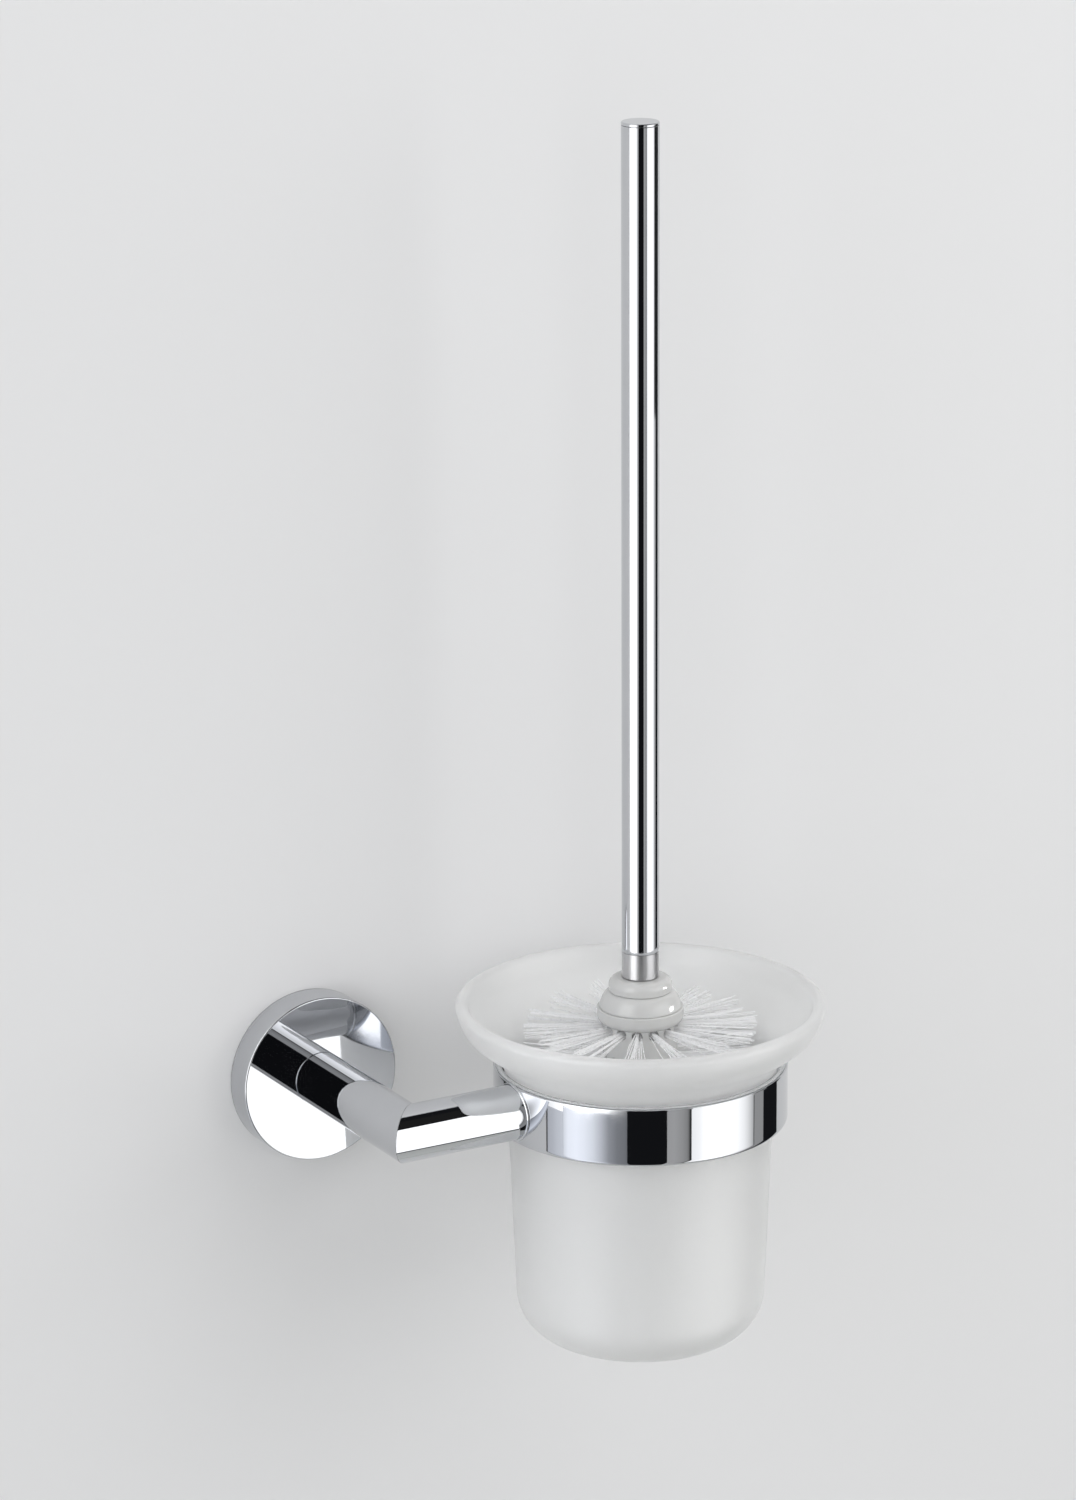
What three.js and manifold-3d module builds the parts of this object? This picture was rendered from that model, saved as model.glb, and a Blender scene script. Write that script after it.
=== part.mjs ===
// Wall-mounted toilet brush holder. A round rosette on the wall carries a mitred tube arm, the arm
// carries a flat ring band, a flared frosted glass cup hangs in the ring, and the brush stands in the cup.
//
// Millimetres, +Z up. The origin is the centre of the rosette on the wall: the wall is the plane y = 0,
// the object stands out towards -Y, and the cup is on the +X side.
import * as THREE from 'three';
import { mergeVertices } from 'three/addons/utils/BufferGeometryUtils.js';
import Module from 'manifold-3d';

const wasm = await Module();
wasm.setup();

// Rosette, its wall bracket and the screws that hold them
const rosetteRadius = 27.5;
const rosetteBore = 23;
const rosetteDepth = 10.5;
const rosetteFace = 3;
const rosetteBevel = 0.5;
const bracketRadius = 22.6;
const bracketThickness = 6;
const bracketPocketRadius = 8;
const bracketFloor = 2;
const wallScrewSpacing = 30;
const wallScrewSlot = { radius: 2.4, travel: 4, sinkRadius: 4.4, sinkDepth: 2 };
const grubScrew = { radius: 2.4, length: 4.3, outFromWall: 5.2, socket: 2.5, socketDepth: 2, gap: 0.3 };
const armBolt = { radius: 2.9, headRadius: 5, headHeight: 4, length: 17, socket: 4, headEdge: 0.5 };
const screwTaper = 0.4;
const grubTip = 1;
const screwClearance = 0.25;

// Arm: two tubes that meet in a mitre
const tubeRadius = 9;
const tubeBore = 7.5;
const armReach = 69;
const plugRadius = 7.35;
const plugLength = 14;
const mitreGap = 0.03;
const cutterSize = 60;
const seatGap = 0.1;

// Ring band, its screw and the liner that keeps glass off metal
const ringCentreX = 85.5;
const ringRadius = 47.5;
const ringBore = 46;
const ringTop = 9;
const ringFoot = -9.9;
const ringEdge = 0.7;
const ringScrew = { radius: 2.4, headRadius: 3.6, headHeight: 1, length: 12, socket: 2.5, headEdge: 0.3 };
const liner = { outer: 45.85, inner: 45.35, foot: 4.2, lipRadius: 46.9, lipHeight: 0.4 };

// Glass cup, heights measured from the arm's axis
const cupBase = -84.3;
const cupCorner = 15.5;
const cupFootRadius = 40.4;
const cupNeck = { radius: 42.8, height: -9 };
const cupFlareBend = { radius: 52.7, height: 17 };
const cupLip = { radius: 59.4, height: 27 };
// The flare leaves the neck almost upright, leans out most at the bend, and turns up again at the lip.
const lowerFlarePull = [43.3, 8.8, 43.2, 10.6];
const upperFlarePull = [56.3, 19.6, 58.1, 21.7];
const glassWall = 4.2;

// Brush handle, heights measured from the arm's axis
const handleRadius = 6;
const handleBore = 5;
const handleTop = 314.3;
const endCapHeight = 1;
const handleEdge = 0.3;
const endCapSpigot = 7;
const connectorTop = 46.2;
const connectorFoot = 37.8;
const connectorSpigot = 15;
const spigotRadius = 4.85;
const studRadius = 2.9;
const studBore = 3.1;
const studTop = 49.5;
const studFoot = 20;
const studEndGap = 0.5;

// Brush head
const collar = { radius: 10.2, foot: 33.3, top: 37.5, footEdge: 0.5, topRound: 1.4 };
const headCap = { radius: 13.2, neck: 9.8, foot: 27.7, top: 33.1, footEdge: 0.5 };
const headCapPull = [13.2, 30.7, 11.8, 32.7];
const coreFlange = { radius: 13.95, foot: 22.9, top: 27.5 };
const coreRadius = 12;
const coreFoot = -79.8;
const coreTipRadius = 8;
const coreTipRound = 3;
const grooveRadius = 8;
const grooveHeight = 3.6;
const rowTop = 21;
const rowPitch = 10;
const rowCount = 8;
const endRowHeight = -60;
const tuftsPerRow = 14;
const firstTuftTurn = -125.5;
const bristleRadius = 37.8;
const bristleClearance = 0.8;
const tuft = { root: 1.9, tipWide: 4.8, tipHigh: 3.4, sides: 4 };
const endTuft = { length: 30, droop: 25 };
const hubGap = 0.2;
const hubBore = 8.5;

// Sides of a turned piece, by its size
const round = 56;
const cupRound = 48;
const fineRound = 32;
const small = 20;
const headRound = 24;

const finishes = {
  chrome: { color: 0xd9dbde, roughness: 0.06, metalness: 1 },
  satinSteel: { color: 0xb9babb, roughness: 0.38, metalness: 1 },
  zinc: { color: 0x8f9193, roughness: 0.5, metalness: 1 },
  steel: { color: 0x9a9c9e, roughness: 0.35, metalness: 1 },
  clearPlastic: { color: 0xe4e7e8, roughness: 0.3, metalness: 0 },
  frostedGlass: { color: 0xd3d6d3, roughness: 0.55, metalness: 0 },
  whitePlastic: { color: 0xe9e8e2, roughness: 0.35, metalness: 0 },
  nylon: { color: 0xf2f3f4, roughness: 0.6, metalness: 0 },
};

// A three.js geometry as a solid: bare positions, shared corners, no collapsed triangles
function toSolid(geometry) {
  const bare = geometry.index ? geometry.toNonIndexed() : geometry.clone();
  bare.deleteAttribute('normal');
  bare.deleteAttribute('uv');
  const merged = mergeVertices(bare, 1e-4);
  const corners = merged.index.array;
  const kept = [];
  for (let i = 0; i < corners.length; i += 3) {
    const [a, b, c] = corners.slice(i, i + 3);
    if (a !== b && b !== c && c !== a) kept.push(a, b, c);
  }
  const vertProperties = merged.attributes.position.array;
  return new wasm.Manifold(new wasm.Mesh({ numProp: 3, vertProperties, triVerts: new Uint32Array(kept) }));
}

function toGeometry(solid) {
  const mesh = solid.getMesh();
  const geometry = new THREE.BufferGeometry();
  geometry.setAttribute('position', new THREE.BufferAttribute(new Float32Array(mesh.vertProperties), 3));
  geometry.setIndex(new THREE.BufferAttribute(new Uint32Array(mesh.triVerts), 1));
  geometry.computeVertexNormals();
  return geometry;
}

// A piece turned about Z from an outline of [radius, height] that starts and ends on the axis,
// or closes on itself, and runs up its outer side
function turned(outline, segments) {
  const points = outline.map(([radius, height]) => new THREE.Vector2(radius, height));
  return toSolid(new THREE.LatheGeometry(points, segments).rotateX(Math.PI / 2));
}

function rod(radius, foot, top, segments = small) {
  return turned([[0, foot], [radius, foot], [radius, top], [0, top]], segments);
}

function pipe(radius, bore, foot, top, segments) {
  return turned([[bore, foot], [radius, foot], [radius, top], [bore, top], [bore, foot]], segments);
}

// A hexagonal socket along Z, given by its width across flats
function hexSocket(acrossFlats, foot, top) {
  const radius = acrossFlats / Math.sqrt(3);
  return toSolid(new THREE.CylinderGeometry(radius, radius, top - foot, 6)
    .rotateX(Math.PI / 2)
    .translate(0, 0, (foot + top) / 2));
}

// A large block whose near face lies `gap` past the origin along `normal`, moved to `point`
function blockBeyond(normal, point, gap) {
  const facing = new THREE.Quaternion().setFromUnitVectors(new THREE.Vector3(0, 0, 1), normal);
  const centre = point.clone().addScaledVector(normal, cutterSize / 2 + gap);
  const geometry = new THREE.BoxGeometry(cutterSize, cutterSize, cutterSize).applyQuaternion(facing);
  return toSolid(geometry.translate(centre.x, centre.y, centre.z));
}

function addPiece(group, name, solid, finish) {
  const mesh = new THREE.Mesh(toGeometry(solid), new THREE.MeshStandardMaterial(finish));
  mesh.name = name;
  group.add(mesh);
  return mesh;
}

// Outline arcs
function arc(centreRadius, centreHeight, radius, fromDegrees, toDegrees, steps) {
  const points = [];
  for (let i = 0; i <= steps; i += 1) {
    const angle = THREE.MathUtils.degToRad(fromDegrees + (toDegrees - fromDegrees) * i / steps);
    points.push([centreRadius + radius * Math.cos(angle), centreHeight + radius * Math.sin(angle)]);
  }
  return points;
}

// The wall bracket: a thick disc with a pocket for the arm bolt's head and two countersunk slots
function makeBracket() {
  let solid = turned([
    [0, 0],
    [bracketRadius, 0],
    [bracketRadius, bracketThickness],
    [bracketPocketRadius, bracketThickness],
    [bracketPocketRadius, bracketFloor],
    [0, bracketFloor],
  ], round);
  for (const side of [-1, 1]) {
    const { radius, travel, sinkRadius, sinkDepth } = wallScrewSlot;
    for (const [slotRadius, foot] of [[radius, -1], [sinkRadius, bracketThickness - sinkDepth]]) {
      const x = side * wallScrewSpacing / 2;
      const top = bracketThickness + 1;
      const block = toSolid(new THREE.BoxGeometry(2 * slotRadius, travel, top - foot)
        .translate(x, 0, (foot + top) / 2));
      solid = solid.subtract(block);
      for (const end of [-1, 1]) {
        solid = solid.subtract(rod(slotRadius, foot, top).translate([x, end * travel / 2, 0]));
      }
    }
  }
  return solid;
}

// The rosette: a thick-walled cap with a bolt hole in its face and a grub screw hole underneath
function makeRosette() {
  const inner = rosetteDepth - rosetteFace;
  const boltHole = armBolt.radius + screwClearance;
  const cap = turned([
    [rosetteBore, 0],
    [rosetteRadius, 0],
    [rosetteRadius, rosetteDepth - rosetteBevel],
    [rosetteRadius - rosetteBevel, rosetteDepth],
    [boltHole, rosetteDepth],
    [boltHole, inner],
    [rosetteBore, inner],
    [rosetteBore, 0],
  ], round);
  const hole = rod(grubScrew.radius + screwClearance, -rosetteRadius - 1, 1 - rosetteBore)
    .rotate([-90, 0, 0])
    .translate([0, 0, grubScrew.outFromWall]);
  return cap.subtract(hole);
}

// A headless set screw: tapered tip up, hexagon socket in its lower end
function makeGrubScrew() {
  const { radius, length, socket, socketDepth } = grubScrew;
  const body = turned([
    [0, 0],
    [radius - screwTaper, 0],
    [radius, screwTaper],
    [radius, length - grubTip],
    [radius - grubTip, length],
    [0, length],
  ], small);
  return body.subtract(hexSocket(socket, -1, socketDepth));
}

// A cap screw with its head up and its shank down, and a hexagon socket in the head
function makeCapScrew({ radius, headRadius, headHeight, length, socket, headEdge }) {
  const socketFloor = headHeight * 0.45;
  const body = turned([
    [0, -length],
    [radius - screwTaper, -length],
    [radius, -length + screwTaper],
    [radius, 0],
    [headRadius, 0],
    [headRadius, headHeight - headEdge],
    [headRadius - headEdge, headHeight],
    [0, headHeight],
  ], small);
  return body.subtract(hexSocket(socket, socketFloor, headHeight + 1));
}

function makeWallArm() {
  const tube = pipe(tubeRadius, tubeBore, rosetteDepth + seatGap, armReach + 2 * tubeRadius, fineRound);
  const outwards = new THREE.Vector3(1, 0, 1).normalize();
  return tube.subtract(blockBeyond(outwards, new THREE.Vector3(0, 0, armReach), -mitreGap));
}

function makeCrossArm() {
  const tube = pipe(tubeRadius, tubeBore, -2 * tubeRadius, ringCentreX - ringBore, fineRound);
  const outwards = new THREE.Vector3(0, 1, -1).normalize();
  const mitred = tube.subtract(blockBeyond(outwards, new THREE.Vector3(), -mitreGap));
  // The far end is coped to the ring's outer face.
  const half = cutterSize / 2;
  const cope = rod(ringRadius + seatGap, -half, half, 2 * round)
    .rotate([0, 90, 0])
    .translate([0, 0, ringCentreX]);
  return mitred.subtract(cope);
}

// The ring band, with rounded edges and one screw hole on the side of the arm
function makeRing() {
  const band = turned([
    [ringBore, ringFoot + ringEdge],
    ...arc(ringBore + ringEdge, ringFoot + ringEdge, ringEdge, 180, 270, 2).slice(1),
    ...arc(ringRadius - ringEdge, ringFoot + ringEdge, ringEdge, 270, 360, 2),
    ...arc(ringRadius - ringEdge, ringTop - ringEdge, ringEdge, 0, 90, 2),
    ...arc(ringBore + ringEdge, ringTop - ringEdge, ringEdge, 90, 180, 2),
    [ringBore, ringFoot + ringEdge],
  ], round);
  const hole = rod(ringScrew.radius + screwClearance, 0, ringRadius + 2);
  return band.subtract(hole.rotate([0, -90, 0]));
}

function makeLiner() {
  const lipFoot = ringTop + seatGap;
  return turned([
    [liner.inner, liner.foot],
    [liner.outer, liner.foot],
    [liner.outer, lipFoot],
    [liner.lipRadius, lipFoot],
    [liner.lipRadius, lipFoot + liner.lipHeight],
    [liner.inner, lipFoot + liner.lipHeight],
    [liner.inner, liner.foot],
  ], round);
}

// The cup's outer side from the edge of its flat base up to its lip
function cupOutline() {
  const path = new THREE.Path();
  path.absarc(cupFootRadius - cupCorner, cupBase + cupCorner, cupCorner, -Math.PI / 2, 0, false);
  path.lineTo(cupNeck.radius, cupNeck.height);
  path.bezierCurveTo(...lowerFlarePull, cupFlareBend.radius, cupFlareBend.height);
  path.bezierCurveTo(...upperFlarePull, cupLip.radius, cupLip.height);
  return path.getPoints(4);
}

// The same side moved inwards by the wall's thickness
function cupInside(outline) {
  return outline.map((point, i) => {
    const before = outline[Math.max(i - 1, 0)];
    const after = outline[Math.min(i + 1, outline.length - 1)];
    const along = after.clone().sub(before).normalize();
    return new THREE.Vector2(point.x - glassWall * along.y, point.y + glassWall * along.x);
  });
}

function makeCup() {
  const outside = cupOutline();
  const inside = cupInside(outside);
  const outerEnd = outside.at(-1);
  const innerEnd = inside.at(-1);
  const lipCentre = outerEnd.clone().add(innerEnd).multiplyScalar(0.5);
  const start = THREE.MathUtils.radToDeg(outerEnd.clone().sub(lipCentre).angle()) - 360;
  const floor = cupBase + glassWall;
  return turned([
    [0, cupBase],
    ...outside.map((point) => [point.x, point.y]),
    ...arc(lipCentre.x, lipCentre.y, glassWall / 2, start, start + 180, 4).slice(1, -1),
    ...inside.slice(1).reverse().map((point) => [point.x, point.y]),
    [cupFootRadius - cupCorner, floor],
    [0, floor],
  ], cupRound);
}

function makeHandleTube() {
  const top = handleTop - endCapHeight - seatGap;
  return pipe(handleRadius, handleBore, connectorTop + seatGap, top, fineRound);
}

function makeEndCap() {
  const foot = handleTop - endCapHeight;
  return turned([
    [0, foot - endCapSpigot],
    [spigotRadius, foot - endCapSpigot],
    [spigotRadius, foot],
    [handleRadius, foot],
    [handleRadius, handleTop - handleEdge],
    [handleRadius - handleEdge, handleTop],
    [0, handleTop],
  ], fineRound);
}

function makeConnector() {
  return turned([
    [studBore, connectorFoot],
    [handleRadius, connectorFoot],
    [handleRadius, connectorTop - handleEdge],
    [handleRadius - handleEdge, connectorTop],
    [spigotRadius, connectorTop],
    [spigotRadius, connectorTop + connectorSpigot],
    [0, connectorTop + connectorSpigot],
    [0, studTop + studEndGap],
    [studBore, studTop + studEndGap],
    [studBore, connectorFoot],
  ], fineRound);
}

function makeCollar() {
  const { radius, foot, top, footEdge, topRound } = collar;
  return turned([
    [studBore, foot],
    [radius - footEdge, foot],
    [radius, foot + footEdge],
    ...arc(radius - topRound, top - topRound, topRound, 0, 90, 3),
    [studBore, top],
    [studBore, foot],
  ], fineRound);
}

// The rounded cap: a shoulder that swells from its neck to its widest point near the foot
function makeHeadCap() {
  const { radius, neck, foot, top, footEdge } = headCap;
  const path = new THREE.Path();
  path.moveTo(radius - footEdge, foot);
  path.lineTo(radius, foot + footEdge);
  path.bezierCurveTo(...headCapPull, neck, top);
  return turned([
    [studBore, foot],
    ...path.getPoints(4).map((point) => [point.x, point.y]),
    [studBore, top],
    [studBore, foot],
  ], headRound);
}

function rowHeights() {
  const heights = Array.from({ length: rowCount }, (_, i) => rowTop - i * rowPitch);
  return [...heights, endRowHeight];
}

// The core: a stem with a groove for the hub of each bristle row, and a flange under the cap
function makeCore() {
  const outline = [
    [0, coreFoot],
    [coreTipRadius - coreTipRound, coreFoot],
    ...arc(coreTipRadius - coreTipRound, coreFoot + coreTipRound, coreTipRound, -90, 0, 3).slice(1),
  ];
  for (const height of rowHeights().reverse()) {
    if (height !== endRowHeight) outline.push([coreRadius, height - grooveHeight / 2]);
    outline.push([grooveRadius, height - grooveHeight / 2]);
    outline.push([grooveRadius, height + grooveHeight / 2]);
    outline.push([coreRadius, height + grooveHeight / 2]);
  }
  outline.push(
    [coreFlange.radius, coreFlange.foot],
    [coreFlange.radius, coreFlange.top],
    [studBore, coreFlange.top],
    [studBore, studFoot - studEndGap],
    [0, studFoot - studEndGap],
  );
  return turned(outline, headRound);
}

// One row of tufts on a hub that lies in a groove of the core. Each tuft widens towards its tip.
function makeBristleRow(reach, droop, turn) {
  const half = grooveHeight / 2 - hubGap;
  const hub = pipe(coreRadius - hubGap, hubBore, -half, half, tuftsPerRow);
  let row = hub.rotate([0, 0, turn + 180 / tuftsPerRow]);
  const start = hubBore + hubGap;
  const length = reach - start;
  const shape = new THREE.CylinderGeometry(tuft.tipWide, tuft.root, length, tuft.sides)
    .rotateY(Math.PI / tuft.sides)
    .translate(0, length / 2, 0)
    .scale(tuft.tipHigh / tuft.tipWide, 1, 1)
    .rotateZ(-Math.PI / 2 - THREE.MathUtils.degToRad(droop))
    .rotateX(Math.PI / 2)
    .translate(start, 0, 0);
  const one = toSolid(shape);
  for (let i = 0; i < tuftsPerRow; i += 1) {
    row = row.add(one.rotate([0, 0, turn + i * 360 / tuftsPerRow]));
  }
  return row;
}

// The widest a row may be at a height, so that it stands clear of the cup's straight wall
function rowReach(height) {
  const slope = (cupNeck.radius - cupFootRadius) / (cupNeck.height - cupBase - cupCorner);
  const wall = cupNeck.radius - slope * (cupNeck.height - height + tuft.tipHigh) - glassWall;
  return Math.min(bristleRadius, wall - bristleClearance);
}

const holder = new THREE.Group();

// Along this group's +Z is straight out from the wall.
const outFromWall = new THREE.Group();
outFromWall.rotation.x = Math.PI / 2;
holder.add(outFromWall);

addPiece(outFromWall, 'wall_bracket', makeBracket(), finishes.zinc);
addPiece(outFromWall, 'rosette_cover', makeRosette(), finishes.chrome);
addPiece(outFromWall, 'wall_arm', makeWallArm(), finishes.chrome);

const armPlug = pipe(plugRadius, armBolt.radius + screwClearance, 0, plugLength, fineRound);
addPiece(outFromWall, 'arm_plug', armPlug, finishes.steel).position.z = rosetteDepth + 5 * seatGap;

const bolt = addPiece(outFromWall, 'arm_bolt', makeCapScrew(armBolt), finishes.steel);
bolt.rotation.x = Math.PI;
bolt.position.z = rosetteDepth - rosetteFace - seatGap;

const grub = addPiece(holder, 'rosette_grub_screw', makeGrubScrew(), finishes.steel);
grub.position.set(0, -grubScrew.outFromWall, -bracketRadius - grubScrew.gap - grubScrew.length);

// Along this group's +Z is from the elbow to the ring.
const alongCrossArm = new THREE.Group();
alongCrossArm.position.y = -armReach;
alongCrossArm.rotation.y = Math.PI / 2;
holder.add(alongCrossArm);

addPiece(alongCrossArm, 'cross_arm', makeCrossArm(), finishes.chrome);

const crossPlug = pipe(plugRadius, ringScrew.radius + screwClearance, 0, plugLength, fineRound);
const crossPlugEnd = ringCentreX - ringRadius - 6 * seatGap;
addPiece(alongCrossArm, 'cross_arm_plug', crossPlug, finishes.steel).position.z = crossPlugEnd - plugLength;

const ringScrewMesh = addPiece(alongCrossArm, 'ring_screw', makeCapScrew(ringScrew), finishes.steel);
ringScrewMesh.position.z = ringCentreX - ringBore + 3 * seatGap;

// The ring, the cup and the brush share one upright axis.
const cupAxis = new THREE.Group();
cupAxis.position.set(ringCentreX, -armReach, 0);
holder.add(cupAxis);

addPiece(cupAxis, 'ring_band', makeRing(), finishes.chrome);
addPiece(cupAxis, 'cup_liner', makeLiner(), finishes.clearPlastic);
addPiece(cupAxis, 'glass_cup', makeCup(), finishes.frostedGlass);

addPiece(cupAxis, 'handle_tube', makeHandleTube(), finishes.chrome);
addPiece(cupAxis, 'handle_end_cap', makeEndCap(), finishes.chrome);
addPiece(cupAxis, 'handle_connector', makeConnector(), finishes.satinSteel);
addPiece(cupAxis, 'head_stud', rod(studRadius, studFoot, studTop), finishes.steel);
addPiece(cupAxis, 'head_collar', makeCollar(), finishes.whitePlastic);
addPiece(cupAxis, 'head_cap', makeHeadCap(), finishes.whitePlastic);
addPiece(cupAxis, 'brush_core', makeCore(), finishes.whitePlastic);

rowHeights().forEach((height, i) => {
  const isEnd = height === endRowHeight;
  const reach = isEnd ? endTuft.length : rowReach(height);
  const turn = firstTuftTurn + (i % 2) * 180 / tuftsPerRow;
  const row = makeBristleRow(reach, isEnd ? endTuft.droop : 0, turn);
  const name = isEnd ? 'bristle_row_end' : `bristle_row_${i + 1}`;
  addPiece(cupAxis, name, row, finishes.nylon).position.z = height;
});

export default holder;
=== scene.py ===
import math
import random
import bmesh
import bpy
from mathutils import Matrix, Vector


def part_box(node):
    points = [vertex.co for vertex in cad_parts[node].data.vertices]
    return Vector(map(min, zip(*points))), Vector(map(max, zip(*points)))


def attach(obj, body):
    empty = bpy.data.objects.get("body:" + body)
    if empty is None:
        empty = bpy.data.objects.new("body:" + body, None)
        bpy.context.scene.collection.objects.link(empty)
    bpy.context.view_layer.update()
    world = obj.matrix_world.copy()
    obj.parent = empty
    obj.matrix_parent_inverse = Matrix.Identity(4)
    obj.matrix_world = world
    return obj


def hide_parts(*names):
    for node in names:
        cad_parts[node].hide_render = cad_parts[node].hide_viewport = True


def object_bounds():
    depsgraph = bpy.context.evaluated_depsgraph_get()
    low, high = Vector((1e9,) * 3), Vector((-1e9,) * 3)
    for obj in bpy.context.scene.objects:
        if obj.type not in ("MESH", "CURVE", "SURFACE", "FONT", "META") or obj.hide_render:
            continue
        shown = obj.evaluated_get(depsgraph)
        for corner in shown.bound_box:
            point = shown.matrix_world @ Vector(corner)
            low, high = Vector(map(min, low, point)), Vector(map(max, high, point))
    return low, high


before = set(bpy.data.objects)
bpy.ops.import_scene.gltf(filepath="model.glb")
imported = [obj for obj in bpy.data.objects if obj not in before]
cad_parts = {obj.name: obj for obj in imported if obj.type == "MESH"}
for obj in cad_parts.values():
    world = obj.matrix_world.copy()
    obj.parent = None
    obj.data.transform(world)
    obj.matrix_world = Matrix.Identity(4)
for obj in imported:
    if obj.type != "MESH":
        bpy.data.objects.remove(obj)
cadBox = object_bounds()
mm = 0.001
print("frame loaded:", len(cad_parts), "nodes")


def nodeBox(node):
    low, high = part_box(node)
    return Vector(low) / mm, Vector(high) / mm


# Places that the pieces share, in millimetres, and the three ways they are turned: straight out of the
# wall, along the cross arm, and upright on the cup's axis
ringLow, ringHigh = nodeBox("ring_band")
cupAxis = (ringLow + ringHigh) / 2
armLow, armHigh = nodeBox("wall_arm")
tubeRadius = (armHigh.z - armLow.z) / 2
outFromWall = Matrix.Rotation(math.pi / 2, 4, "X")
alongCrossArm = Matrix.Translation((0, cupAxis.y * mm, 0)) @ Matrix.Rotation(math.pi / 2, 4, "Y")
onCupAxis = Matrix.Translation((cupAxis.x * mm, cupAxis.y * mm, 0))


# Shading helpers that every material starts from
def newMaterial(name):
    material = bpy.data.materials.new(name)
    material.use_nodes = True
    tree = material.node_tree
    return material, tree, tree.nodes["Principled BSDF"]


def addNode(tree, kind, inputs=(), **settings):
    node = tree.nodes.new(kind)
    for key, value in settings.items():
        setattr(node, key, value)
    for key, value in dict(inputs).items():
        node.inputs[key].default_value = value
    return node


def newGroup(name, inputs, outputs):
    group = bpy.data.node_groups.new(name, "ShaderNodeTree")
    for label, value in inputs.items():
        socket = group.interface.new_socket(label, in_out="INPUT", socket_type="NodeSocketFloat")
        socket.default_value = value
    for label in outputs:
        group.interface.new_socket(label, in_out="OUTPUT", socket_type="NodeSocketFloat")
    return group, group.nodes.new("NodeGroupInput"), group.nodes.new("NodeGroupOutput")


# Soft smears and fine hairlines, as any wiped surface has
def makeWipeGroup():
    group, given, result = newGroup(
        "wiped surface", {"Smear Size": 60.0, "Hairline Size": 900.0, "Stretch": 12.0}, ("Smear", "Hairline"))
    place = addNode(group, "ShaderNodeTexCoord")
    smear = addNode(group, "ShaderNodeTexNoise", {"Detail": 4.0, "Roughness": 0.6})
    softened = addNode(group, "ShaderNodeMapRange", {"From Min": 0.38, "From Max": 0.68},
                       interpolation_type="SMOOTHSTEP")
    squeeze = addNode(group, "ShaderNodeVectorMath", operation="MULTIPLY")
    axes = addNode(group, "ShaderNodeCombineXYZ", {"X": 1.0, "Y": 1.0})
    hairline = addNode(group, "ShaderNodeTexNoise", {"Detail": 2.0, "Roughness": 0.5})
    link = group.links.new
    link(place.outputs["Object"], smear.inputs["Vector"])
    link(given.outputs["Smear Size"], smear.inputs["Scale"])
    link(smear.outputs["Fac"], softened.inputs["Value"])
    link(given.outputs["Stretch"], axes.inputs["Z"])
    link(place.outputs["Object"], squeeze.inputs[0])
    link(axes.outputs[0], squeeze.inputs[1])
    link(squeeze.outputs[0], hairline.inputs["Vector"])
    link(given.outputs["Hairline Size"], hairline.inputs["Scale"])
    link(softened.outputs[0], result.inputs["Smear"])
    link(hairline.outputs["Fac"], result.inputs["Hairline"])
    return group


wipeGroup = makeWipeGroup()


# One recipe for all the opaque finishes: two close tints, roughness that drifts with the smears,
# and a low relief from the hairlines
def makeFinish(name, look):
    material, tree, shader = newMaterial(name)
    link = tree.links.new
    wiped = addNode(tree, "ShaderNodeGroup", node_tree=wipeGroup)
    for key, value in look["wipe"].items():
        wiped.inputs[key].default_value = value
    tint = addNode(tree, "ShaderNodeMix", data_type="RGBA")
    tint.inputs["A"].default_value = (*look["colour"], 1)
    tint.inputs["B"].default_value = (*look["smearColour"], 1)
    sheen = addNode(tree, "ShaderNodeMapRange",
                    {"To Min": look["roughness"][0], "To Max": look["roughness"][1]})
    relief = addNode(tree, "ShaderNodeBump", {"Strength": look["reliefStrength"], "Distance": look["relief"]})
    link(wiped.outputs["Smear"], tint.inputs["Factor"])
    link(tint.outputs["Result"], shader.inputs["Base Color"])
    link(wiped.outputs["Smear"], sheen.inputs["Value"])
    link(sheen.outputs[0], shader.inputs["Roughness"])
    link(wiped.outputs["Hairline"], relief.inputs["Height"])
    link(relief.outputs[0], shader.inputs["Normal"])
    for key, value in look.get("shader", {}).items():
        shader.inputs[key].default_value = value
    if "lightPassed" in look:
        passLight(tree, shader, look["lightPassed"])
    return material


# Lets a share of the light go straight through, so that what stands behind isn't in full shadow
def passLight(tree, shader, share):
    rays = addNode(tree, "ShaderNodeLightPath")
    either = addNode(tree, "ShaderNodeMath", operation="MAXIMUM")
    passed = addNode(tree, "ShaderNodeMath", {1: share}, operation="MULTIPLY")
    clear = addNode(tree, "ShaderNodeBsdfTransparent")
    mixed = addNode(tree, "ShaderNodeMixShader")
    tree.links.new(rays.outputs["Is Shadow Ray"], either.inputs[0])
    tree.links.new(rays.outputs["Is Diffuse Ray"], either.inputs[1])
    tree.links.new(either.outputs[0], passed.inputs[0])
    tree.links.new(passed.outputs[0], mixed.inputs["Fac"])
    tree.links.new(shader.outputs[0], mixed.inputs[1])
    tree.links.new(clear.outputs[0], mixed.inputs[2])
    tree.links.new(mixed.outputs[0], tree.nodes["Material Output"].inputs["Surface"])


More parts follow.
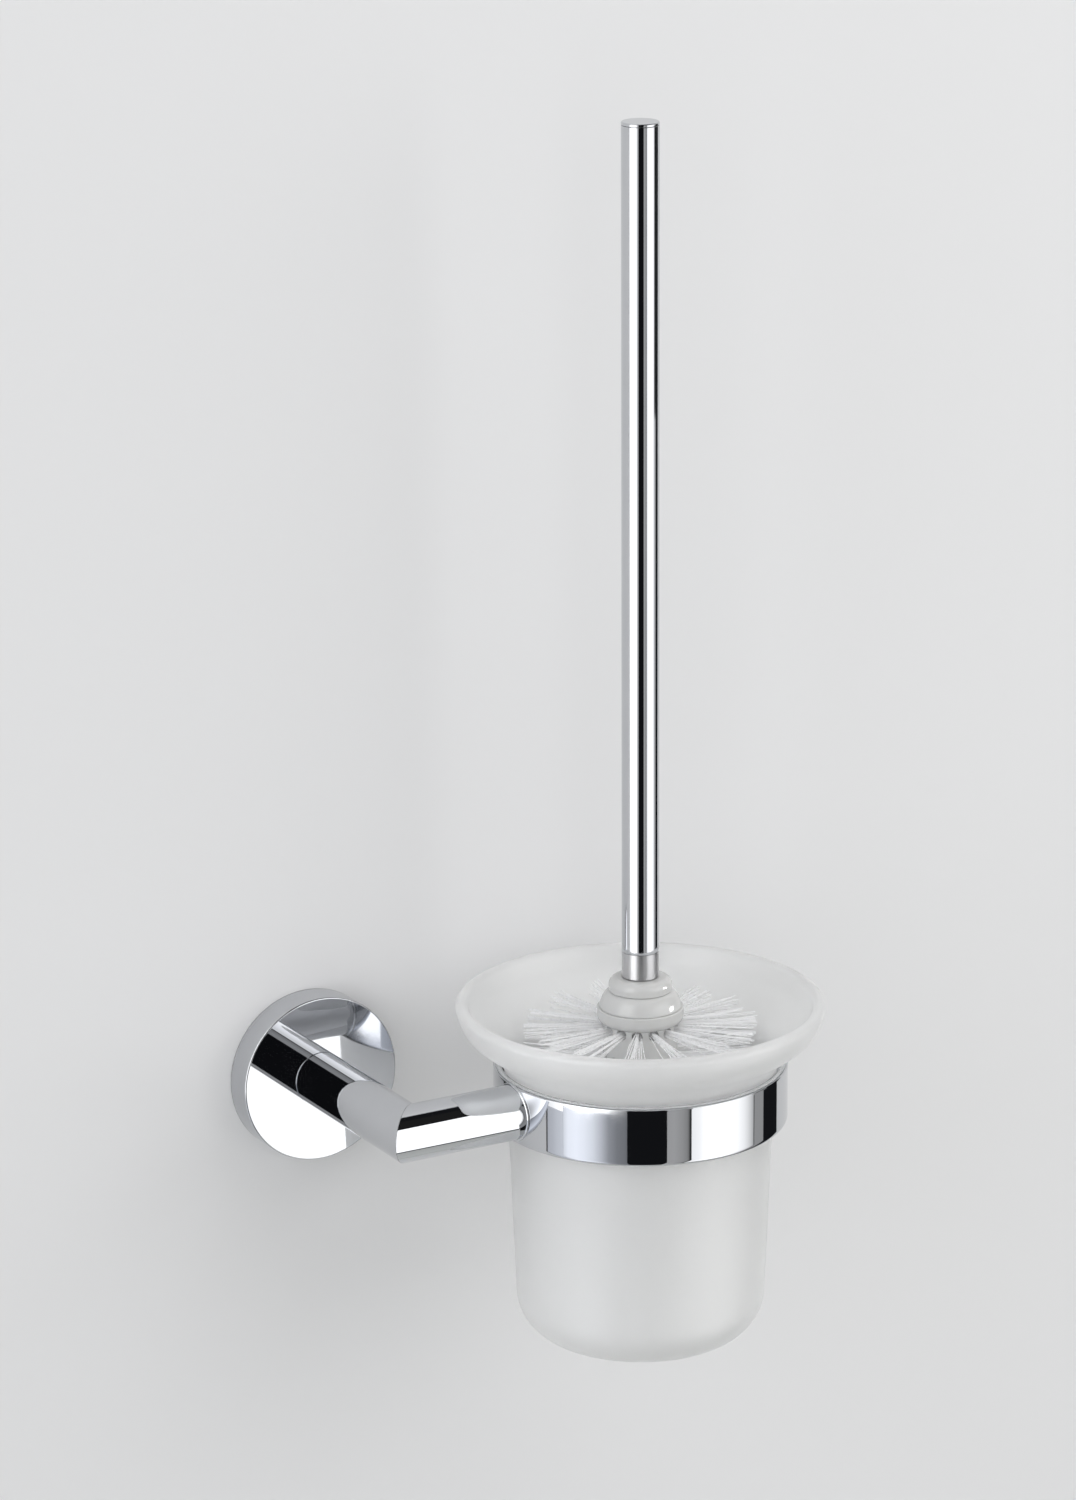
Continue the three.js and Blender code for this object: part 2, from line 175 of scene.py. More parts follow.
chromeLook = {
    "colour": (0.60, 0.61, 0.63), "smearColour": (0.585, 0.597, 0.62),
    "roughness": (0.015, 0.05), "relief": 0.00001, "reliefStrength": 0.05,
    "wipe": {"Smear Size": 38.0, "Hairline Size": 700.0, "Stretch": 1.0},
    "shader": {"Metallic": 1.0},
}
satinLook = {
    "colour": (0.62, 0.62, 0.63), "smearColour": (0.60, 0.60, 0.612),
    "roughness": (0.30, 0.33), "relief": 0.00001, "reliefStrength": 0.08,
    "wipe": {"Smear Size": 60.0, "Hairline Size": 160.0, "Stretch": 60.0},
    "shader": {"Metallic": 1.0, "Anisotropic": 1.0, "Anisotropic Rotation": 0.25},
}
zincLook = {
    "colour": (0.40, 0.41, 0.42), "smearColour": (0.31, 0.32, 0.33),
    "roughness": (0.42, 0.6), "relief": 0.0002, "reliefStrength": 0.35,
    "wipe": {"Smear Size": 170.0, "Hairline Size": 900.0, "Stretch": 1.0},
    "shader": {"Metallic": 1.0},
}
steelLook = {
    "colour": (0.50, 0.50, 0.49), "smearColour": (0.41, 0.415, 0.42),
    "roughness": (0.26, 0.4), "relief": 0.00008, "reliefStrength": 0.3,
    "wipe": {"Smear Size": 320.0, "Hairline Size": 800.0, "Stretch": 6.0},
    "shader": {"Metallic": 1.0},
}
plasticLook = {
    "colour": (0.605, 0.607, 0.6), "smearColour": (0.59, 0.591, 0.583),
    "roughness": (0.13, 0.17), "relief": 0.00003, "reliefStrength": 0.08,
    "wipe": {"Smear Size": 110.0, "Hairline Size": 620.0, "Stretch": 1.0},
    "shader": {"Subsurface Weight": 0.12, "Subsurface Radius": (1.0, 0.9, 0.75),
               "Subsurface Scale": 0.002},
}
nylonLook = {
    "colour": (0.97, 0.97, 0.98), "smearColour": (0.93, 0.935, 0.95),
    "roughness": (0.25, 0.35), "relief": 0.00002, "reliefStrength": 0.2,
    "wipe": {"Smear Size": 700.0, "Hairline Size": 900.0, "Stretch": 1.0},
    "shader": {"Subsurface Weight": 0.3, "Subsurface Radius": (1.0, 1.0, 1.0),
               "Subsurface Scale": 0.002},
    "lightPassed": 0.9,
}
chrome = makeFinish("polished chrome", chromeLook)
satinSteel = makeFinish("satin steel", satinLook)
castZinc = makeFinish("cast zinc", zincLook)
fastenerSteel = makeFinish("fastener steel", steelLook)
whitePlastic = makeFinish("ivory plastic", plasticLook)
nylon = makeFinish("nylon filament", nylonLook)


# Etched glass: light passes and scatters, and a fine tooth from the etching breaks up the surface
def makeGlass(name, look):
    material, tree, shader = newMaterial(name)
    link = tree.links.new
    place = addNode(tree, "ShaderNodeTexCoord")
    cloud = addNode(tree, "ShaderNodeTexNoise", {"Scale": look["cloudSize"], "Detail": 3.0})
    tooth = addNode(tree, "ShaderNodeTexNoise", {"Scale": look["toothSize"], "Detail": 2.0})
    tint = addNode(tree, "ShaderNodeMix", data_type="RGBA")
    tint.inputs["A"].default_value = (*look["colour"], 1)
    tint.inputs["B"].default_value = (*look["cloudColour"], 1)
    sheen = addNode(tree, "ShaderNodeMapRange", {
        "From Min": 0.3, "From Max": 0.7, "To Min": look["roughness"][0], "To Max": look["roughness"][1]})
    relief = addNode(tree, "ShaderNodeBump", {"Strength": look["reliefStrength"], "Distance": look["relief"]})
    link(place.outputs["Object"], cloud.inputs["Vector"])
    link(place.outputs["Object"], tooth.inputs["Vector"])
    link(cloud.outputs["Fac"], tint.inputs["Factor"])
    link(tint.outputs["Result"], shader.inputs["Base Color"])
    link(cloud.outputs["Fac"], sheen.inputs["Value"])
    link(sheen.outputs[0], shader.inputs["Roughness"])
    link(tooth.outputs["Fac"], relief.inputs["Height"])
    link(relief.outputs[0], shader.inputs["Normal"])
    for key, value in look["shader"].items():
        shader.inputs[key].default_value = value
    passLight(tree, shader, look["lightPassed"])
    return material


frostedLook = {
    "colour": (0.905, 0.907, 0.905), "cloudColour": (0.885, 0.89, 0.885), "cloudSize": 45.0,
    "roughness": (0.38, 0.46), "toothSize": 1600.0, "relief": 0.00004, "reliefStrength": 0.25,
    "lightPassed": 0.8,
    "shader": {"Transmission Weight": 0.45, "IOR": 1.5, "Subsurface Weight": 1.0,
               "Subsurface Radius": (1.0, 1.0, 1.0), "Subsurface Scale": 0.02},
}
linerLook = {
    "colour": (0.93, 0.94, 0.95), "cloudColour": (0.88, 0.90, 0.91), "cloudSize": 90.0,
    "roughness": (0.16, 0.24), "toothSize": 700.0, "relief": 0.00002, "reliefStrength": 0.2,
    "lightPassed": 0.85, "shader": {"Transmission Weight": 0.7, "IOR": 1.45},
}
frostedGlass = makeGlass("frosted glass", frostedLook)
clearPlastic = makeGlass("clear liner plastic", linerLook)
print("materials made:", len(bpy.data.materials))


# A corner of an outline: radius and height, its rounding, and what an end that isn't square adds
def corner(radius, height, rounding=0.0, endShape=None):
    return radius, height, rounding, endShape


# The outline with an arc in place of each rounded corner
def roundedOutline(corners, steps):
    points = []
    for i, (radius, height, rounding, endShape) in enumerate(corners):
        here = Vector((radius, height))
        if rounding == 0:
            points.append((here, endShape))
            continue
        before = (Vector(corners[i - 1][:2]) - here).normalized()
        after = (Vector(corners[(i + 1) % len(corners)][:2]) - here).normalized()
        half = before.angle(after) / 2
        centre = here + (before + after).normalized() * rounding / math.sin(half)
        first = here + before * rounding / math.tan(half) - centre
        last = here + after * rounding / math.tan(half) - centre
        sweep = first.angle(last)
        for step in range(steps + 1):
            share = step / steps
            swung = first * math.sin((1 - share) * sweep) + last * math.sin(share * sweep)
            points.append((centre + swung / math.sin(sweep), endShape))
    return points


def meshPiece(name, shape, place):
    bmesh.ops.recalc_face_normals(shape, faces=shape.faces)
    shape.transform(place)
    mesh = bpy.data.meshes.new(name)
    shape.to_mesh(mesh)
    shape.free()
    for face in mesh.polygons:
        face.use_smooth = True
    piece = bpy.data.objects.new(name, mesh)
    bpy.context.scene.collection.objects.link(piece)
    return piece


# A solid turned about Z. An outline that starts on the axis ends on it too; any other closes on itself.
def turned(name, corners, place=Matrix(), sides=128, steps=6):
    shape = bmesh.new()
    rings = []
    for point, endShape in roundedOutline(corners, steps):
        ring = []
        for i in range(sides if point.x > 0 else 1):
            angle = 2 * math.pi * i / sides
            x, y = point.x * math.cos(angle), point.x * math.sin(angle)
            height = point.y + (endShape(x, y) if endShape else 0)
            ring.append(shape.verts.new((x * mm, y * mm, height * mm)))
        rings.append(ring)
    pairs = list(zip(rings, rings[1:]))
    if len(rings[0]) > 1:
        pairs.append((rings[-1], rings[0]))
    for lower, upper in pairs:
        for i in range(sides):
            j = (i + 1) % sides
            around = (lower[i % len(lower)], lower[j % len(lower)],
                      upper[j % len(upper)], upper[i % len(upper)])
            shape.faces.new(list(dict.fromkeys(around)))
    return meshPiece(name, shape, place)


def cut(piece, cutter):
    modifier = piece.modifiers.new("cut", "BOOLEAN")
    modifier.operation = "DIFFERENCE"
    modifier.solver = "EXACT"
    modifier.object = cutter
    shaped = piece.evaluated_get(bpy.context.evaluated_depsgraph_get())
    mesh = bpy.data.meshes.new_from_object(shaped)
    piece.modifiers.clear()
    piece.data = mesh
    bpy.data.objects.remove(cutter)


sharpFrom = math.radians(38)  # an edge that turns more than this shades as a sharp one


# Wide faces keep their own normals, so that flats stay flat right up to their rounded edges
def evenShading(piece):
    piece.data.set_sharp_from_angle(angle=sharpFrom)
    shading = piece.modifiers.new("even shading", "WEIGHTED_NORMAL")
    shading.weight = 100
    shading.keep_sharp = True


def fit(piece, body, material, slot, *nodes):
    piece.data.materials.clear()
    piece.data.materials.append(material)
    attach(piece, body)
    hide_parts(*nodes)


smallSides = 48  # sides of a turned screw or hole


def rodCorners(radius, foot, top):
    return [corner(0, foot), corner(radius, foot), corner(radius, top), corner(0, top)]


# Wall bracket
bracket = {"pocketRadius": 8.0, "pocketRound": 0.8, "floor": 2.0, "edge": 0.4, "slotAt": 15.0,
           "slotRadius": 2.4, "slotTravel": 4.0, "sinkRadius": 4.4, "sinkDepth": 2.0}


def makeBracket(sizes):
    low, high = nodeBox("wall_bracket")
    radius, thickness = (high.x - low.x) / 2, high.y - low.y
    piece = turned("bracket_plate", [
        corner(0, 0), corner(radius, 0, sizes["edge"]), corner(radius, thickness, sizes["edge"]),
        corner(sizes["pocketRadius"], thickness, sizes["edge"]),
        corner(sizes["pocketRadius"], sizes["floor"], sizes["pocketRound"]),
        corner(0, sizes["floor"]),
    ], outFromWall)
    sink = thickness - sizes["sinkDepth"]
    for side in (-1, 1):
        for radius, foot, top in ((sizes["slotRadius"], -1, sink + 0.5),
                                  (sizes["sinkRadius"], sink, thickness + 1)):
            slot = slotCutter(radius, sizes["slotTravel"], foot, top)
            slot.data.transform(Matrix.Translation((side * sizes["slotAt"] * mm, 0, 0)))
            cut(piece, slot)
    evenShading(piece)
    fit(piece, "wall_fixing", castZinc, "zinc_bracket", "wall_bracket")


# A round-ended slot that stands along Z once it is turned out from the wall
def slotCutter(radius, travel, foot, top, steps=24):
    shape = bmesh.new()
    outline = []
    for i in range(2 * steps):
        end = 1 if i < steps else -1
        angle = math.pi * (i % steps) / (steps - 1) + (0 if end == 1 else math.pi)
        outline.append((radius * math.cos(angle) * mm, (end * travel / 2 + radius * math.sin(angle)) * mm))
    floor = shape.faces.new([shape.verts.new((x, y, foot * mm)) for x, y in outline])
    raised = bmesh.ops.extrude_face_region(shape, geom=[floor])["geom"]
    corners = [item for item in raised if isinstance(item, bmesh.types.BMVert)]
    bmesh.ops.translate(shape, verts=corners, vec=(0, 0, (top - foot) * mm))
    return meshPiece("slot cutter", shape, outFromWall)


makeBracket(bracket)

# Rosette with its grub screw
rosette = {"bore": 23.0, "face": 3.0, "bevel": 0.55, "backEdge": 0.2, "innerRound": 1.0, "boltHole": 3.15,
           "screwHole": 2.65, "screwEdge": 0.3, "screwTip": 0.9, "screwSocket": 2.5, "screwSocketDepth": 2.0}


def makeRosette(sizes):
    low, high = nodeBox("rosette_cover")
    radius, depth = (high.x - low.x) / 2, high.y - low.y
    inner = depth - sizes["face"]
    piece = turned("rosette", [
        corner(sizes["bore"], 0), corner(radius, 0, sizes["backEdge"]), corner(radius, depth, sizes["bevel"]),
        corner(sizes["boltHole"], depth), corner(sizes["boltHole"], inner),
        corner(sizes["bore"], inner, sizes["innerRound"]),
    ], outFromWall, sides=192)
    screwLow, screwHigh = nodeBox("rosette_grub_screw")
    screwAt = Matrix.Translation((0, (screwLow.y + screwHigh.y) / 2 * mm, 0))
    hole = rodCorners(sizes["screwHole"], -radius - 1, 1 - sizes["bore"])
    cut(piece, turned("screw hole", hole, screwAt, smallSides))
    evenShading(piece)
    fit(piece, "holder", chrome, "chrome", "rosette_cover")
    length, radius = screwHigh.z - screwLow.z, (screwHigh.x - screwLow.x) / 2
    screwAt = screwAt @ Matrix.Translation((0, 0, screwLow.z * mm))
    screw = turned("grub_screw", [
        corner(0, 0), corner(radius, 0, sizes["screwEdge"]), corner(radius, length, sizes["screwTip"]),
        corner(0, length),
    ], screwAt, smallSides)
    hexRadius = sizes["screwSocket"] / math.sqrt(3)
    cut(screw, turned("socket", rodCorners(hexRadius, -1, sizes["screwSocketDepth"]), screwAt, 6))
    evenShading(screw)
    fit(screw, "holder", fastenerSteel, "steel_fasteners", "rosette_grub_screw")


makeRosette(rosette)

# The two arm tubes, mitred at the elbow, and the saddle where the second one meets the ring
arm = {"bore": 7.5, "footEdge": 0.3, "mitreEdge": 0.12, "saddleEdge": 0.3, "bead": 0.55, "gap": 0.1,
       "mitreGap": 0.03}


def makeArm(sizes):
    rosetteFace = -nodeBox("rosette_cover")[0].y
    reach = -cupAxis.y
    ringRadius = (ringHigh.x - ringLow.x) / 2 + sizes["gap"]

    def mitredEnd(x, y):
        return -x

    def mitredStart(x, y):
        return y

    def saddle(x, y):
        return -math.sqrt(ringRadius ** 2 - y ** 2)

    bore, mitre, gap = sizes["bore"], sizes["mitreEdge"], sizes["mitreGap"]
    foot = rosetteFace + sizes["gap"]
    wallTube = turned("wall_tube", [
        corner(bore, foot), corner(tubeRadius, foot, sizes["footEdge"]),
        corner(tubeRadius, reach - gap, mitre, mitredEnd), corner(bore, reach - gap, 0, mitredEnd),
    ], outFromWall, sides=160)
    crossTube = turned("cross_tube", [
        corner(bore, gap, 0, mitredStart), corner(tubeRadius, gap, mitre, mitredStart),
        corner(tubeRadius, cupAxis.x, sizes["saddleEdge"], saddle), corner(bore, cupAxis.x, 0, saddle),
    ], alongCrossArm, sides=256, steps=9)
    addBead(crossTube, sizes["bead"], ringRadius)
    for piece, node in ((wallTube, "wall_arm"), (crossTube, "cross_arm")):
        evenShading(piece)
        fit(piece, "holder", chrome, "chrome", node)


# The polished bead of braze that runs round the saddle where the tube meets the ring
def addBead(tube, thickness, ringRadius, steps=160, sides=12):
    shape = bmesh.new()
    centres = []
    for i in range(steps):
        angle = 2 * math.pi * i / steps
        y, z = tubeRadius * math.cos(angle), tubeRadius * math.sin(angle)
        centres.append(Vector((-math.sqrt(ringRadius ** 2 - y ** 2), y, z)))
    rings = []
    for i, centre in enumerate(centres):
        along = (centres[(i + 1) % steps] - centres[i - 1]).normalized()
        outwards = Vector((0, centre.y, centre.z)).normalized()
        across = along.cross(outwards)
        around = []
        for turn in (2 * math.pi * side / sides for side in range(sides)):
            point = centre + thickness * (math.cos(turn) * outwards + math.sin(turn) * across)
            around.append(shape.verts.new(onCupAxis @ (mm * point)))
        rings.append(around)
    for i, here in enumerate(rings):
        after = rings[(i + 1) % steps]
        for side in range(sides):
            j = (side + 1) % sides
            shape.faces.new((here[side], here[j], after[j], after[side]))
    bead = meshPiece("bead", shape, Matrix())
    joined = bmesh.new()
    joined.from_mesh(tube.data)
    joined.from_mesh(bead.data)
    joined.to_mesh(tube.data)
    joined.free()
    bpy.data.objects.remove(bead)


makeArm(arm)


# A socket head screw with its head up and its shank down
def makeSocketScrew(name, node, sizes, place):
    head, shank = sizes["headHeight"], sizes["length"]
    screw = turned(name, [
        corner(0, -shank), corner(sizes["radius"], -shank, sizes["tipEdge"]), corner(sizes["radius"], 0),
        corner(sizes["headRadius"], 0, sizes["seatEdge"]), corner(sizes["headRadius"], head, sizes["headEdge"]),
        corner(0, head),
    ], place, 64)
    socket = rodCorners(sizes["socket"] / math.sqrt(3), head * 0.45, head + 1)
    cut(screw, turned("socket", socket, place, 6))
    evenShading(screw)
    fit(screw, "holder", fastenerSteel, "steel_fasteners", node)


armBolt = {"radius": 2.9, "headRadius": 5.0, "headHeight": 4.0, "length": 17.0, "socket": 4.0,
           "headEdge": 0.5, "seatEdge": 0.15, "tipEdge": 0.4}
ringScrew = {"radius": 2.4, "headRadius": 3.6, "headHeight": 1.0, "length": 12.0, "socket": 2.5,
             "headEdge": 0.3, "seatEdge": 0.15, "tipEdge": 0.4}
boltSeat = nodeBox("arm_bolt")[1].y - armBolt["headHeight"]
screwSeat = nodeBox("ring_screw")[1].x - ringScrew["headHeight"]
makeSocketScrew("arm_bolt_m6", "arm_bolt", armBolt,
                Matrix.Translation((0, boltSeat * mm, 0)) @ outFromWall @ Matrix.Rotation(math.pi, 4, "X"))
makeSocketScrew("ring_screw_m5", "ring_screw", ringScrew,
                alongCrossArm @ Matrix.Translation((0, 0, screwSeat * mm)))

# Ring band and its soft liner
ring = {"thickness": 1.5, "topEdge": (0.35, 0.5), "footEdge": (0.7, 1.4), "screwHole": 2.65}
liner = {"thickness": 0.5, "gap": 0.15, "lipHeight": 0.4, "edge": 0.15}


def arcPoints(centre, radius, fromAngle, toAngle, steps):
    points = []
    for i in range(steps + 1):
        angle = math.radians(fromAngle + (toAngle - fromAngle) * i / steps)
        points.append(centre + radius * Vector((math.cos(angle), math.sin(angle))))
    return points


# An outer edge polished round: a quarter of an ellipse, given by its depth and its height
def softEdge(radius, height, edge, side):
    return [corner(radius + (point.x - 1) * edge[0], height + side * (point.y - 1) * edge[1])
            for point in arcPoints(Vector((0, 0)), 1.0, 0, 90, 14)]


def makeRing(sizes):
    radius = (ringHigh.x - ringLow.x) / 2
    bore = radius - sizes["thickness"]
    lower = softEdge(radius, ringLow.z, sizes["footEdge"], -1)[::-1]
    upper = softEdge(radius, ringHigh.z, sizes["topEdge"], 1)
    piece = turned("ring", [corner(bore, ringLow.z)] + lower + upper + [corner(bore, ringHigh.z)],
                   onCupAxis, sides=256)
    hole = turned("screw hole", rodCorners(sizes["screwHole"], bore - 3, radius + 3),
                  onCupAxis @ Matrix.Rotation(-math.pi / 2, 4, "Y"), smallSides)
    cut(piece, hole)
    evenShading(piece)
    fit(piece, "holder", chrome, "chrome", "ring_band")


def makeLiner(sizes):
    low, high = nodeBox("cup_liner")
    lipRadius = (high.x - low.x) / 2
    lipFoot = high.z - sizes["lipHeight"]
    outer = ringHigh.x - cupAxis.x - ring["thickness"] - sizes["gap"]
    inner = outer - sizes["thickness"]
    piece = turned("liner", [
        corner(inner, low.z), corner(outer, low.z), corner(outer, lipFoot), corner(lipRadius, lipFoot),
        corner(lipRadius, high.z, sizes["edge"]), corner(inner, high.z, sizes["edge"]),
    ], onCupAxis, sides=192, steps=3)
    fit(piece, "holder", clearPlastic, "clear_plastic", "cup_liner")


makeRing(ring)
makeLiner(liner)
print("holder built")

# Glass cup, heights from the arm's axis
cup = {"corner": 15.5, "footRadius": 40.4, "neck": (42.8, -9.0), "bend": (52.7, 17.0), "lip": (59.4, 27.0),
       "lowerPull": ((43.3, 8.8), (43.2, 10.6)), "upperPull": ((56.3, 19.6), (58.1, 21.7)), "wall": 4.2}


def curvePoints(start, pulls, end, steps):
    points = []
    for i in range(1, steps + 1):
        t = i / steps
        s = 1 - t
        points.append(s ** 3 * start + 3 * s * s * t * pulls[0] + 3 * s * t * t * pulls[1] + t ** 3 * end)
    return points


def makeCup(sizes):
    base = nodeBox("glass_cup")[0].z
    neck, bend, lip = (Vector(sizes[key]) for key in ("neck", "bend", "lip"))
    lowerPull, upperPull = ([Vector(pull) for pull in sizes[key]] for key in ("lowerPull", "upperPull"))
    cornerCentre = Vector((sizes["footRadius"] - sizes["corner"], base + sizes["corner"]))
    outside = arcPoints(cornerCentre, sizes["corner"], -90, 0, 18)
    outside += [outside[-1].lerp(neck, share / 4) for share in range(1, 5)]
    outside += curvePoints(neck, lowerPull, bend, 24)
    outside += curvePoints(bend, upperPull, lip, 18)
    inside = []
    for i, point in enumerate(outside):
        along = (outside[min(i + 1, len(outside) - 1)] - outside[max(i - 1, 0)]).normalized()
        inside.append(point + sizes["wall"] * Vector((-along.y, along.x)))
    lipCentre = (outside[-1] + inside[-1]) / 2
    start = math.degrees(math.atan2(outside[-1].y - lipCentre.y, outside[-1].x - lipCentre.x))
    rim = arcPoints(lipCentre, sizes["wall"] / 2, start, start + 180, 14)[1:-1]
    floor = Vector((0, base + sizes["wall"]))
    outline = [Vector((0, base))] + outside + rim + inside[::-1] + [floor]
    piece = turned("glass_cup_body", [corner(*point) for point in outline], onCupAxis, sides=192)
    fit(piece, "cup", frostedGlass, "frosted_glass", "glass_cup")


makeCup(cup)
print("cup built")

# Handle: a chrome tube with an end cap, and a satin connector under it
handle = {"bore": 5.0, "tubeEdge": 0.12, "capEdge": 0.45, "capHeight": 1.0, "capFootEdge": 0.3,
          "spigot": 4.85, "spigotEdge": 0.4, "gap": 0.1, "connectorEdge": 0.2, "studBore": 3.1, "studEnd": 50.0}


def makeHandle(sizes):
    tubeLow, tubeHigh = nodeBox("handle_tube")
    capLow, capHigh = nodeBox("handle_end_cap")
    connectorLow, connectorHigh = nodeBox("handle_connector")
    radius = (tubeHigh.x - tubeLow.x) / 2
    tube = turned("handle_rod", [
        corner(sizes["bore"], tubeLow.z), corner(radius, tubeLow.z, sizes["tubeEdge"]),
        corner(radius, tubeHigh.z, sizes["tubeEdge"]), corner(sizes["bore"], tubeHigh.z),
    ], onCupAxis)
    capFoot = capHigh.z - sizes["capHeight"]
    cap = turned("handle_cap", [
        corner(0, capLow.z), corner(sizes["spigot"], capLow.z, sizes["capFootEdge"]),
        corner(sizes["spigot"], capFoot),
        corner(radius, capFoot, sizes["tubeEdge"]), corner(radius, capHigh.z, sizes["capEdge"]),
        corner(0, capHigh.z),
    ], onCupAxis)
    shoulder = tubeLow.z - sizes["gap"]
    connector = turned("connector_sleeve", [
        corner(0, sizes["studEnd"]), corner(sizes["studBore"], sizes["studEnd"]),
        corner(sizes["studBore"], connectorLow.z), corner(radius, connectorLow.z, sizes["connectorEdge"]),
        corner(radius, shoulder, sizes["tubeEdge"]), corner(sizes["spigot"], shoulder),
        corner(sizes["spigot"], connectorHigh.z, sizes["spigotEdge"]), corner(0, connectorHigh.z),
    ], onCupAxis)
    for piece in (tube, cap, connector):
        evenShading(piece)
    fit(tube, "brush_handle", chrome, "chrome", "handle_tube")
    fit(cap, "brush_handle", chrome, "chrome", "handle_end_cap")
    fit(connector, "brush_handle", satinSteel, "satin_steel", "handle_connector")


makeHandle(handle)
print("handle built")

# Brush head: collar, domed cap, and the core with its drilled rows
collar = {"bore": 3.1, "footEdge": 0.25, "topRound": 2.6, "seam": 0.14}
headCap = {"bore": 3.1, "neck": 9.8, "footEdge": 0.2, "seam": 0.16, "side": 0.3,
           "pull": ((12.95, 29.2), (12.1, 32.3))}
core = {"flangeHeight": 5.1, "flangeRound": 2.4, "flangeEdge": 0.3, "radius": 12.0, "tipRadius": 8.0,
        "tipRound": 3.0, "taper": 7.0, "taperRound": 3.0, "bore": 3.1, "boreFoot": 19.0,
        "holeRadius": 1.75, "holeFloor": 9.6}


def makeCollar(sizes):
    low, high = nodeBox("head_collar")
    radius = (high.x - low.x) / 2
    foot = low.z - sizes["seam"]
    piece = turned("collar", [
        corner(sizes["bore"], foot), corner(radius, foot, sizes["footEdge"]),
        corner(radius, high.z, sizes["topRound"]), corner(sizes["bore"], high.z),
    ], onCupAxis)
    evenShading(piece)
    fit(piece, "brush_head", whitePlastic, "white_plastic", "head_collar")


def makeHeadCap(sizes):
    low, high = nodeBox("head_cap")
    radius = (high.x - low.x) / 2
    pulls = [Vector(pull) for pull in sizes["pull"]]
    domeFoot = Vector((radius, low.z + sizes["side"]))
    dome = [domeFoot] + curvePoints(domeFoot, pulls, Vector((sizes["neck"], high.z)), 16)
    foot = low.z - sizes["seam"]
    piece = turned("cap", [
        corner(sizes["bore"], foot), corner(radius, foot, sizes["footEdge"]),
        *[corner(*point) for point in dome], corner(sizes["bore"], high.z),
    ], onCupAxis)
    evenShading(piece)
    fit(piece, "brush_head", whitePlastic, "white_plastic", "head_cap")


# The rows from the top down: the CAD node, the height, and whether it is the end row
def bristleRows():
    names = sorted(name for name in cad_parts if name.startswith("bristle_row"))
    rows = []
    for name in names:
        low, high = nodeBox(name)
        ended = name.endswith("end")
        rows.append((name, bristles["endHeight"] if ended else (low.z + high.z) / 2, ended))
    return rows


bristles = {
    "perRow": 14, "firstTurn": -125.5, "perTuft": 19, "rootRadius": 1.45, "start": 10.0, "fanFrom": 12.2,
    "fanWide": 3.4, "fanHigh": 2.15, "thickness": 0.18, "trim": 0.45, "bow": 0.5, "stray": 0.45,
    "endHeight": -60.0, "endReach": 30.0, "endDroop": 25.0, "gather": 0.75, "sag": 0.2,
}


# Every second row is turned by half a tuft's share
def tuftTurn(row, i):
    perRow = bristles["perRow"]
    return math.radians(bristles["firstTurn"] + (row % 2) * 180 / perRow + i * 360 / perRow)


# Turns a tuft's own frame (outwards, across, up) to its place on the core
def tuftPlace(height, turn, droop):
    return (Matrix.Translation((0, 0, height)) @ Matrix.Rotation(turn, 4, "Z")
            @ Matrix.Rotation(math.radians(droop), 4, "Y"))


def makeCore(sizes):
    low, high = nodeBox("brush_core")
    flangeRadius = (high.x - low.x) / 2
    flangeFoot = high.z - sizes["flangeHeight"]
    piece = turned("core", [
        corner(0, low.z), corner(sizes["tipRadius"], low.z, sizes["tipRound"]),
        corner(sizes["radius"], low.z + sizes["taper"], sizes["taperRound"]),
        corner(sizes["radius"], flangeFoot), corner(flangeRadius, flangeFoot, sizes["flangeRound"]),
        corner(flangeRadius, high.z, sizes["flangeEdge"]), corner(sizes["bore"], high.z),
        corner(sizes["bore"], sizes["boreFoot"]), corner(0, sizes["boreFoot"]),
    ], onCupAxis, sides=168)
    holes = bmesh.new()
    depth = sizes["radius"] + 3 - sizes["holeFloor"]
    middle = Matrix.Translation((sizes["holeFloor"] + depth / 2, 0, 0)) @ Matrix.Rotation(math.pi / 2, 4, "Y")
    for row, (name, height, ended) in enumerate(bristleRows()):
        for i in range(bristles["perRow"]):
            tuft = tuftPlace(height, tuftTurn(row, i), bristles["endDroop"] * ended)
            place = onCupAxis @ Matrix.Scale(mm, 4) @ tuft
            bmesh.ops.create_cone(holes, cap_ends=True, segments=20, radius1=sizes["holeRadius"],
                                  radius2=sizes["holeRadius"], depth=depth, matrix=place @ middle)
    cut(piece, meshPiece("tuft holes", holes, Matrix()))
    evenShading(piece)
    fit(piece, "brush_head", whitePlastic, "white_plastic", "brush_core")


makeCollar(collar)
makeHeadCap(headCap)
makeCore(core)
print("brush head built")


# One filament: a thin three-sided tube along its path, cut square at the tip
def addFilament(vertices, faces, path, radius, twist):
    start = len(vertices)
    for i, point in enumerate(path):
        along = (path[min(i + 1, len(path) - 1)] - path[max(i - 1, 0)]).normalized()
        across = along.cross(Vector((0, 0, 1))).normalized()
        up = across.cross(along)
        for side in range(3):
            angle = twist + side * 2 * math.pi / 3
            vertices.append(point + radius * (math.cos(angle) * across + math.sin(angle) * up))
    for i in range(len(path) - 1):
        for side in range(3):
            a, b = start + 3 * i + side, start + 3 * i + (side + 1) % 3
            faces.append((a, b, b + 3, a + 3))
    last = start + 3 * (len(path) - 1)
    faces.append((start + 2, start + 1, start))
    faces.append((last, last + 1, last + 2))


